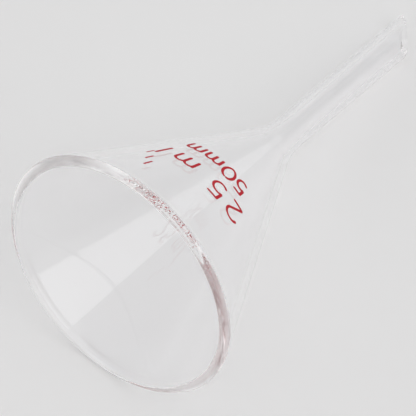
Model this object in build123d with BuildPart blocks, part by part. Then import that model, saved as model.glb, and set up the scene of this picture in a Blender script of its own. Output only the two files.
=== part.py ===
from build123d import *
import os
from math import atan2, cos, hypot, radians, sin, sqrt, tan

# Conical glass funnel, one piece of clear borosilicate glass, lying on its side on the floor at Z = 0.
# It touches the floor at the lowest point of its rim and at the lowest point of its bevelled tip.
# X runs along the floor from the mouth to the tip, and the tip's long point lies on the +Y side.

# Driving dimensions, in millimetres and degrees
mouth_d = 50.0  # outside diameter over the rim
overall_length = 90.0  # from the rim to the long point of the tip, along the funnel's axis
cone_angle = 50.0  # full angle of the cone
wall = 1.7  # thickness of the cone
rim_round = 1.05  # radius of the fire-polished rim, a little thicker than the wall
rim_blend = 1.5  # radius of the run-in from the rim to the inside of the cone
stem_d = 6.6  # outside diameter of the stem
bore_d = 4.2  # inside diameter of the stem
neck_blend = 14.0  # outside radius of the bend from cone to stem
tip_angle = 45.0  # angle between the tip's cut and the funnel's axis
tip_round = 0.25  # fire-polished edges of the tip

# Sizes that follow from them
half = radians(cone_angle / 2)
mouth_r = mouth_d / 2
stem_r = stem_d / 2
bore_r = bore_d / 2
tip_slope = 1 / tan(radians(tip_angle))
tip_mid = overall_length - stem_r * tip_slope  # where the cut crosses the funnel's axis

# Lie: the dip of the axis below level at which the rim and the tip touch the floor together.
# The round centre line of the tip's softened edge is an ellipse on a thinner tube.
round_r = stem_r - tip_round
round_mid = tip_mid - tip_round * hypot(1, tip_slope)
dip = atan2(mouth_r - stem_r, tip_mid)
for step in range(30):
    tip_drop = round_mid * sin(dip) + round_r * hypot(cos(dip), tip_slope * sin(dip)) + tip_round
    rim_drop = rim_round * (1 + sin(dip)) + (mouth_r - rim_round) * cos(dip)
    dip += (rim_drop - tip_drop) / overall_length

# The mouth's centre, with the whole part centred over the origin
back_end = rim_round * cos(dip) - (mouth_r - rim_round) * sin(dip) - rim_round
front_end = round_mid * cos(dip) + round_r * hypot(tip_slope * cos(dip), sin(dip)) + tip_round
mouth = Vector(-(back_end + front_end) / 2, 0, rim_drop)
along = Vector(cos(dip), 0, -sin(dip))  # from the mouth to the tip
side = Vector(0, 1, 0)  # toward the tip's long point
stem_axis = Axis(mouth, along)
meridian = Plane(mouth, x_dir=along, z_dir=-side)  # sketch X along the axis, sketch Y outward
tip_cut = Plane(mouth + along * tip_mid, z_dir=along - side * tip_slope)

# Corners of the half section: distance from the mouth, distance from the axis
rim_centre = Vector(rim_round, mouth_r - rim_round)
down_cone = Vector(cos(half), -sin(half))
off_cone = Vector(sin(half), cos(half))
cone_start = rim_centre + off_cone * rim_round
neck_outside = Vector(cone_start.X + (cone_start.Y - stem_r) / tan(half), stem_r)
inside_off = wall - rim_round
rim_inside = rim_centre - off_cone * inside_off + down_cone * sqrt(rim_round**2 - inside_off**2)
neck_inside = Vector(rim_inside.X + (rim_inside.Y - bore_r) / tan(half), bore_r)
rim_front = rim_centre - down_cone * rim_round
blank_end = overall_length + wall

with BuildPart() as funnel:
    # Half section of the blown piece, turned about the funnel's axis
    with BuildSketch(meridian):
        with BuildLine():
            Line(cone_start, neck_outside)
            Line(neck_outside, (blank_end, stem_r))
            Line((blank_end, stem_r), (blank_end, bore_r))
            Line((blank_end, bore_r), neck_inside)
            Line(neck_inside, rim_inside)
            ThreePointArc(rim_inside, rim_front, cone_start)
        make_face()
        fillet(vertices().sort_by_distance(neck_outside)[0], neck_blend)
        fillet(vertices().sort_by_distance(neck_inside)[0], neck_blend + wall)
        fillet(vertices().sort_by_distance(rim_inside)[0], rim_blend)
    revolve(axis=stem_axis)

    # Bevelled tip, with its edges softened
    split(bisect_by=tip_cut, keep=Keep.BOTTOM)
    fillet(funnel.faces().sort_by(stem_axis)[-1].edges(), tip_round)

os.makedirs("parts", exist_ok=True)
funnel.part.label = "funnel"
export_step(funnel.part, "parts/funnel.step")
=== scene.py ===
"""Clear glass laboratory funnel with a red enamel size mark, lying on a pale floor."""

import bpy
import numpy as np
from mathutils import Matrix, Vector


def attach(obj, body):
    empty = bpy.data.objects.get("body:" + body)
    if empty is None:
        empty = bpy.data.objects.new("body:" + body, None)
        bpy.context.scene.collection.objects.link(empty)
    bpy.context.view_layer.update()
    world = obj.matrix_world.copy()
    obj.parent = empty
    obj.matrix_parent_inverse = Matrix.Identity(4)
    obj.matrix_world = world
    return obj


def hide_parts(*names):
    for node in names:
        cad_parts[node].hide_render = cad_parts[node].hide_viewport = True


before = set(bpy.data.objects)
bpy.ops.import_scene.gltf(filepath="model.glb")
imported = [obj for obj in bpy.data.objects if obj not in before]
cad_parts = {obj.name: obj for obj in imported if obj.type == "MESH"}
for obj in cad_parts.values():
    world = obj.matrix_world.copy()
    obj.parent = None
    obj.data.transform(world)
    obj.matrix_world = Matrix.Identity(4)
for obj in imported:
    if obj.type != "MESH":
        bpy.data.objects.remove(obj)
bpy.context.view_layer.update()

MM = 0.001

# The funnel's sizes, in millimetres, and its lie on the floor
mouth_r, rim_round, rim_blend, wall = 25.0, 1.05, 1.5, 1.7
stem_r, bore_r, neck_blend = 3.3, 2.1, 14.0
half_angle = np.radians(25.0)
tip_mid, tip_slope, tip_round = 86.5, 1.0, 0.3
dip = np.radians(14.2287)
mouth = np.array([-40.53929, 0.0, 24.52335])

along = np.array([np.cos(dip), 0.0, -np.sin(dip)])  # axis, mouth to tip
upright = np.array([np.sin(dip), 0.0, np.cos(dip)])  # across the axis, upward
aside = np.array([0.0, 1.0, 0.0])  # across the axis, toward the tip's long point

# Directions and points of the half section, as (axial, radius)
down_cone = np.array([np.cos(half_angle), -np.sin(half_angle)])
off_cone = np.array([np.sin(half_angle), np.cos(half_angle)])
rim_middle = np.array([rim_round, mouth_r - rim_round])
cone_top = rim_middle + off_cone * rim_round  # where the rim runs into the outside of the cone

# Points of the glass on a straight run, a bend, a small round, the tip's face, the rim and a full turn
run_points, bend_points, round_points, face_points, rim_points, turn_points = 30, 18, 8, 5, 30, 288

# Print on the outside of the cone: where the foot and the middle of each mark are, and its strokes
size_axial, size_turn = 25.4, np.radians(-8.5)
fill_axial, fill_turn = 19.4, np.radians(-12.1)
fill_scale = 1.3  # the filling mark is larger than the size mark
mark_width, tick_width = 0.57, 0.3
stroke_thick, stroke_sunk = 0.03, 0.0014
stroke_step, stroke_points, section_points = 0.12, 6, 12  # spacing, least count, count round the section
section_power = 0.7  # below 1 makes the oval section squarer
end_share = 0.02  # least share under the root that rounds off a stroke's ends


def placed(axial, radius, turn):
    """Points of the floor frame in metres: the mouth's centre, plus axial along the axis, plus radius
    times the direction that stands at the angle turn from upright toward the tip's long point."""
    axial, radius, turn = np.broadcast_arrays(axial, radius, turn)
    across = np.cos(turn)[..., None] * upright + np.sin(turn)[..., None] * aside
    return (mouth + axial[..., None] * along + radius[..., None] * across) * MM


def run(a, b, n):
    """n points from a up to but not including b, evenly along the straight line."""
    t = np.arange(n)[:, None] / n
    return (1 - t) * np.asarray(a) + t * np.asarray(b)


def bend(centre, radius, start, end, n):
    """n points of a circle from the angle start up to but not including end, in radians."""
    t = start + (end - start) * np.arange(n) / n
    return np.asarray(centre) + radius * np.stack([np.cos(t), np.sin(t)], 1)


def grid_mesh(name, points, caps=False):
    """Mesh of a grid of points, closed along its second direction, and along its first one too unless
    caps is set, which ends it in two flat faces instead."""
    rows, cols = points.shape[:2]
    at = np.arange(rows * cols).reshape(rows, cols)
    ahead = np.roll(at, -1, 1)
    quads = np.stack([at, np.roll(at, -1, 0), np.roll(ahead, -1, 0), ahead], -1)
    quads = (quads[:-1] if caps else quads).reshape(-1, 4)
    ends = [at[0].tolist(), at[-1][::-1].tolist()] if caps else []
    mesh = bpy.data.meshes.new(name)
    mesh.from_pydata(points.reshape(-1, 3).tolist(), [], quads.tolist() + ends)
    mesh.polygons.foreach_set("use_smooth", np.ones(len(mesh.polygons), bool))
    mesh.update()
    piece = bpy.data.objects.new(name, mesh)
    bpy.context.collection.objects.link(piece)
    return piece


def glass_section():
    """Closed half section of the glass as (axial, radius, shear) rows: outside of the cone, bend of the
    neck, outside of the stem, rounded tip, bore, inside of the neck, inside of the cone and round rim.
    shear is the share of the tip's slant that a row follows: none up to the stem, all at the tip."""
    neck_out = np.array([cone_top[0] + (cone_top[1] - stem_r) / np.tan(half_angle), stem_r])
    into = wall - rim_round
    inner = rim_middle - off_cone * into
    neck_in = np.array([inner[0] + (inner[1] - bore_r) / np.tan(half_angle), bore_r])
    reach = np.tan(half_angle / 2)
    bend_out, bend_in = neck_blend, neck_blend + wall
    out_a, out_b = neck_out - down_cone * bend_out * reach, neck_out + [bend_out * reach, 0]
    in_a, in_b = neck_in - down_cone * bend_in * reach, neck_in + [bend_in * reach, 0]
    mid_out, mid_in = out_b + [0, bend_out], in_b + [0, bend_in]
    lead = np.sqrt((rim_round + rim_blend) ** 2 - (into + rim_blend) ** 2)
    blend_mid = inner - off_cone * rim_blend + down_cone * lead
    touch = inner + down_cone * lead
    to_rim = rim_middle - blend_mid
    turn_rim = np.arctan2(to_rim[1], to_rim[0])
    turn_wall = np.pi / 2 - half_angle
    low = -np.pi / 2
    tip_start = tip_mid - tip_round
    face_out, face_in = stem_r - tip_round, bore_r + tip_round
    parts = [
        (run(cone_top, out_a, run_points), 0, 0),
        (bend(mid_out, bend_out, low - half_angle, low, bend_points), 0, 0),
        (run(out_b, [tip_start, stem_r], run_points), 0, 1),
        (bend([tip_start, face_out], tip_round, np.pi / 2, 0, round_points), 1, 1),
        (run([tip_mid, face_out], [tip_mid, face_in], face_points), 1, 1),
        (bend([tip_start, face_in], tip_round, 0, low, round_points), 1, 1),
        (run([tip_start, bore_r], in_b, run_points), 1, 0),
        (bend(mid_in, bend_in, low, low - half_angle, bend_points), 0, 0),
        (run(in_a, touch, run_points), 0, 0),
        (bend(blend_mid, rim_blend, turn_wall, turn_rim, round_points), 0, 0),
        (bend(rim_middle, rim_round, turn_rim - np.pi, turn_wall - 2 * np.pi, rim_points), 0, 0),
    ]
    rows = [np.column_stack([p, np.linspace(a, b, len(p), endpoint=False)]) for p, a, b in parts]
    return np.concatenate(rows)


def blown_glass():
    """Surface of the glass: its half section turned about the axis. Toward the tip each point moves
    along the axis by the tip's slant times its distance to the side, so the end is cut obliquely."""
    axial, radius, shear = (column[None, :] for column in glass_section().T)
    turn = np.linspace(0, 2 * np.pi, turn_points, endpoint=False)[:, None]
    slant = shear * tip_slope * radius * np.sin(turn)
    return grid_mesh("glass_funnel", placed(axial + slant, radius, turn)[:, ::-1])


def arc(cx, cy, rx, ry, start, end, n):
    """n points of an ellipse's arc, in degrees from the across direction toward height."""
    t = np.radians(np.linspace(start, end, n))
    return np.stack([cx + rx * np.cos(t), cy + ry * np.sin(t)], 1)


def figure_five():
    """Figure five: its flag, its neck and the bowl, as one stroke."""
    flag = [(2.15, 4.0), (0.5, 4.0), (0.32, 2.2)]
    return [np.concatenate([flag, arc(1.12, 1.28, 1.12, 1.28, 128, -140, 26)])]


def figure_nought():
    """Figure nought: one ellipse, its end just past its start."""
    return [arc(1.25, 2.0, 1.2, 2.0, 90, 452, 40)]


def figure_two():
    """Figure two: its bow and its foot, as one stroke."""
    return [np.concatenate([arc(1.15, 2.85, 1.1, 1.15, 168, -38, 24), [(0.1, 0.0), (2.3, 0.0)]])]


def letter_l():
    """Small l: one upright."""
    return [np.array([(0.0, 0.0), (0.0, 4.0)])]


def letter_m():
    """Small m: a stem and two arches."""
    stem = [np.array([(0.0, 0.0), (0.0, 2.75)])]
    arches = [
        np.concatenate([[(x, 1.7)], arc(x + 0.72, 1.9, 0.72, 0.85, 172, 0, 14), [(x + 1.44, 0.0)]])
        for x in (0.0, 1.44)
    ]
    return stem + arches


def moved(strokes, across):
    """The strokes, each moved this far across."""
    return [np.asarray(stroke, float) + [across, 0] for stroke in strokes]


def size_mark():
    """Strokes of the size mark, fifty millimetres, centred across."""
    strokes = moved(figure_five(), 0) + moved(figure_nought(), 3.0)
    strokes += moved(letter_m(), 6.5) + moved(letter_m(), 10.4)
    return moved(strokes, -6.65)


def fill_mark():
    """Strokes of the filling mark, twenty-five millilitres, centred across."""
    strokes = moved(figure_two(), 0) + moved(figure_five(), 3.55)
    strokes += moved(letter_m(), 9.1) + moved(letter_l(), 14.0)
    return [fill_scale * stroke for stroke in moved(strokes, -7.0)]


def ticks():
    """Three short ticks up the cone beside the filling mark: place across, foot and head of each."""
    spans = [(9.6, 4.7, 7.0), (7.9, 7.4, 10.0), (6.6, 10.0, 12.8)]
    return [np.array([(across, low), (across, high)]) for across, low, high in spans]


def lengths(path):
    """Length along the path from its start to each of its points."""
    return np.r_[0, np.cumsum(np.hypot(*np.diff(path, axis=0).T))]


def even(stroke):
    """The stroke's points again, evenly spaced along its length."""
    gone = lengths(stroke)
    want = np.linspace(0, gone[-1], max(stroke_points, int(gone[-1] / stroke_step)))
    return np.stack([np.interp(want, gone, stroke[:, 0]), np.interp(want, gone, stroke[:, 1])], 1)


def enamel_stroke(stroke, width, base_axial, base_turn):
    """One stroke of enamel: a flat oval section carried along the stroke, rounded off at both ends, and
    wrapped on the cone. Height runs up the cone toward the mouth and across runs round the cone. The
    middle of its underside is fused a little way into the glass."""
    path = even(stroke)
    gone = lengths(path)
    edge = np.minimum(gone, gone[-1] - gone)
    broad = np.sqrt(np.clip(1 - (1 - np.clip(edge / (width / 2), 0, 1)) ** 2, end_share, 1))
    tangent = np.gradient(path, axis=0)
    tangent /= np.hypot(*tangent.T)[:, None]
    normal = np.stack([-tangent[:, 1], tangent[:, 0]], 1)
    t = np.linspace(0, 2 * np.pi, section_points, endpoint=False)
    spread = np.sign(np.cos(t)) * np.abs(np.cos(t)) ** section_power * width / 2
    lift = (1 + np.sin(t)) / 2 * stroke_thick - stroke_sunk
    flat = path[:, None] + normal[:, None] * (broad[:, None] * spread[None])[..., None]
    across, height = flat[..., 0], flat[..., 1]
    base_r = cone_top[1] - (base_axial - cone_top[0]) * np.tan(half_angle)
    axial = base_axial - height * down_cone[0] + lift * off_cone[0]
    radius = base_r - height * down_cone[1] + lift * off_cone[1]
    return placed(axial, radius, base_turn + across / base_r)[:, ::-1]


def enamel(name, strokes, width, base_axial, base_turn):
    """All strokes of one mark as one piece."""
    made = [grid_mesh(name, enamel_stroke(s, width, base_axial, base_turn), caps=True) for s in strokes]
    bpy.ops.object.select_all(action="DESELECT")
    for piece in made:
        piece.select_set(True)
    bpy.context.view_layer.objects.active = made[0]
    bpy.ops.object.join()
    made[0].name = made[0].data.name = name
    return made[0]


funnel = blown_glass()
size_print = enamel("size_mark", size_mark(), mark_width, size_axial, size_turn)
fill_print = enamel("fill_mark", fill_mark(), mark_width, fill_axial, fill_turn)
tick_print = enamel("tick_marks", ticks(), tick_width, fill_axial, fill_turn)


class Socket:
    """A node's output, with the operators that build Math nodes from an expression on values."""

    def __init__(self, tree, output):
        self.tree, self.output = tree, output

    def node(self, kind, settings=(), out=0, **inputs):
        """One output of a new node of this kind. Its settings are made first, then its sockets are set
        or linked by name, with _ for a space, or by number, as i0 or i1."""
        made = self.tree.nodes.new(kind)
        for key, value in dict(settings).items():
            setattr(made, key, value)
        for key, value in inputs.items():
            numbered = key[0] == "i" and key[1:].isdigit()
            spot = made.inputs[int(key[1:]) if numbered else key.replace("_", " ")]
            if isinstance(value, Socket):
                self.tree.links.new(value.output, spot)
            else:
                spot.default_value = value
        return Socket(self.tree, made.outputs[out])

    def maths(self, operation, a, b):
        """A Math node's result on a and b, either of which may be a number."""
        return self.node("ShaderNodeMath", {"operation": operation}, i0=a, i1=b)

    def fade(self, low, high, start, end):
        """start where this value is at most low, end where it is at least high, smooth between."""
        spans = {"From_Min": low, "From_Max": high, "To_Min": start, "To_Max": end}
        return self.node("ShaderNodeMapRange", {"interpolation_type": "SMOOTHSTEP"}, Value=self, **spans)

    def feed(self, shader, name):
        """Link this output to the shader's socket of this name."""
        self.tree.links.new(self.output, shader.inputs[name])

    def __add__(self, other):
        return self.maths("ADD", self, other)

    def __radd__(self, other):
        return self.maths("ADD", other, self)

    def __mul__(self, other):
        return self.maths("MULTIPLY", self, other)

    def __rmul__(self, other):
        return self.maths("MULTIPLY", other, self)

    def __gt__(self, other):
        return self.maths("GREATER_THAN", self, other)

    def __lt__(self, other):
        return self.maths("LESS_THAN", self, other)


def new_material(name):
    """A new node material, its Object coordinates and its shader."""
    material = bpy.data.materials.new(name)
    material.use_nodes = True
    tree = material.node_tree
    place = Socket(tree, tree.nodes.new("ShaderNodeTexCoord").outputs["Object"])
    return material, place, tree.nodes["Principled BSDF"]


def clear_glass():
    """Borosilicate glass: clear all through, with the faint waviness of its blowing as bump and a trace
    of handling haze in its roughness."""
    material, place, shader = new_material("clear_glass")
    shader.inputs["Base Color"].default_value = (0.997, 0.996, 1.0, 1)
    shader.inputs["Transmission Weight"].default_value = 1.0
    shader.inputs["IOR"].default_value = 1.473
    haze = place.node("ShaderNodeTexNoise", Vector=place, Scale=45.0, Detail=3.0)
    ((haze > 0.62) * 0.012 + 0.004).feed(shader, "Roughness")
    waves = place.node("ShaderNodeTexNoise", Vector=place, Scale=260.0, Detail=1.0)
    bump = place.node("ShaderNodeBump", Strength=1.0, Distance=0.000002, Height=waves)
    bump.feed(shader, "Normal")
    return material


def red_enamel():
    """Fired red enamel: slightly uneven colour and a satin surface with a fine grain."""
    material, place, shader = new_material("red_enamel")
    deep, light = (0.38, 0.002, 0.010, 1), (0.53, 0.005, 0.018, 1)
    grain = place.node("ShaderNodeTexNoise", Vector=place, Scale=2500.0, Detail=2.0)
    tint = place.node("ShaderNodeMix", {"data_type": "RGBA"}, out=2, i0=grain, i6=deep, i7=light)
    tint.feed(shader, "Base Color")
    (grain * 0.2 + 0.35).feed(shader, "Roughness")
    shader.inputs["Specular IOR Level"].default_value = 0.15
    return material


glass, red = clear_glass(), red_enamel()
for piece, finish in ((funnel, glass), (size_print, red), (fill_print, red), (tick_print, red)):
    piece.data.materials.clear()
    piece.data.materials.append(finish)
    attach(piece, "root")
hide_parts("funnel")

# Floor, in metres, a hair below the glass so that the two never share a plane
floor_half, floor_drop = 4.0, 0.00002
floor_corners = [(-floor_half, -floor_half, 0), (floor_half, -floor_half, 0)]
floor_corners += [(floor_half, floor_half, 0), (-floor_half, floor_half, 0)]
floor_mesh = bpy.data.meshes.new("floor")
floor_mesh.from_pydata(floor_corners, [], [(0, 1, 2, 3)])
floor = bpy.data.objects.new("floor", floor_mesh)
floor.location.z = -floor_drop
bpy.context.collection.objects.link(floor)
pale, _, shader = new_material("pale_floor")
shader.inputs["Base Color"].default_value = (0.748, 0.751, 0.752, 1)
shader.inputs["Roughness"].default_value = 0.9
shader.inputs["Specular IOR Level"].default_value = 0.1
floor_mesh.materials.append(pale)

# Light
lamp_aim = Vector((0, 0, 0.02))  # near the funnel's middle, in metres
horizon_level, top_level, top_height, least_level = 0.75, 0.93, 0.4, 0.05

# Patches of the dome: azimuth, elevation, inner and outer angle in degrees, change of brightness, warmth
dome_patches = [
    (-43, 28.5, 10, 29.5, -0.88, 0.14),
    (-131, 55, 6, 22, -0.66, 0.0),
    (-108, 24, 10, 30, 0.42, 0.0),
    (83, 38, 10, 38, -0.32, 0.0),
]


def direction(azimuth, elevation):
    """Unit direction at an azimuth, turned from -Y toward +X, and an elevation, both in degrees."""
    a, e = np.radians([azimuth, elevation])
    return Vector((np.sin(a) * np.cos(e), -np.cos(a) * np.cos(e), np.sin(e)))


def softbox(name, azimuth, elevation, distance, width, height, radiance):
    """A rectangular lamp that faces the funnel. Its power is its radiance times pi times its area."""
    way = direction(azimuth, elevation)
    lamp = bpy.data.lights.new(name, "AREA")
    lamp.shape, lamp.size, lamp.size_y = "RECTANGLE", width, height
    lamp.energy = radiance * np.pi * width * height
    made = bpy.data.objects.new(name, lamp)
    made.location = way * distance + lamp_aim
    made.rotation_euler = way.to_track_quat("Z", "Y").to_euler()
    bpy.context.collection.objects.link(made)


def studio_dome():
    """Light from all round: a pale dome that comes down to the floor's brightness at the horizon, with
    soft patches. Each patch adds its change within its inner angle of its middle, and fades out evenly
    to its outer angle. Its warmth is added to its change in red alone."""
    world = bpy.data.worlds.new("studio")
    bpy.context.scene.world = world
    world.use_nodes = True
    tree = world.node_tree
    way = Socket(tree, tree.nodes.new("ShaderNodeTexCoord").outputs["Generated"])
    height = way.node("ShaderNodeSeparateXYZ", out=2, Vector=way)
    red_level = rest_level = height.fade(0.0, top_height, horizon_level, top_level)
    for azimuth, elevation, inner, outer, change, warmth in dome_patches:
        near, far = np.cos(np.radians([inner, outer]))
        sockets = {"i0": way, "i1": direction(azimuth, elevation)}
        closeness = way.node("ShaderNodeVectorMath", {"operation": "DOT_PRODUCT"}, out=1, **sockets)
        share = closeness.fade(far, near, 0.0, 1.0)
        red_level = red_level + share * (change + warmth)
        rest_level = rest_level + share * change
    red_level = way.maths("MAXIMUM", red_level, least_level)
    rest_level = way.maths("MAXIMUM", rest_level, least_level)
    tone = way.node("ShaderNodeCombineColor", Red=red_level, Green=rest_level, Blue=rest_level)
    tone.feed(tree.nodes["Background"], "Color")


softbox("key_softbox", azimuth=-6, elevation=49, distance=2.2, width=2.1, height=2.05, radiance=0.98)
studio_dome()

# Camera, set by its direction from the funnel and its place from the mouth's centre, in millimetres
eye_from_mouth = Vector((-379.965, -334.756, 885.181))
camera = bpy.data.objects.new("camera", bpy.data.cameras.new("camera"))
bpy.context.collection.objects.link(camera)
bpy.context.scene.camera = camera
camera.data.lens, camera.data.sensor_width = 491.65, 36.0
camera.data.clip_end = 50.0
back = direction(-50.485, 59.535)
right = Vector((0, 0, 1)).cross(back).normalized()
turned = Matrix((right, back.cross(right), back)).transposed()
eye = (Vector(mouth) + eye_from_mouth) * MM
camera.matrix_world = Matrix.Translation(eye) @ turned.to_4x4()

# Light runs a long way inside the wall by total reflection before it leaves
bounces = 64
paths = bpy.context.scene.cycles
paths.max_bounces = paths.glossy_bounces = paths.transmission_bounces = bounces
paths.blur_glossy = 0.0

bpy.context.scene.view_settings.view_transform = "Standard"
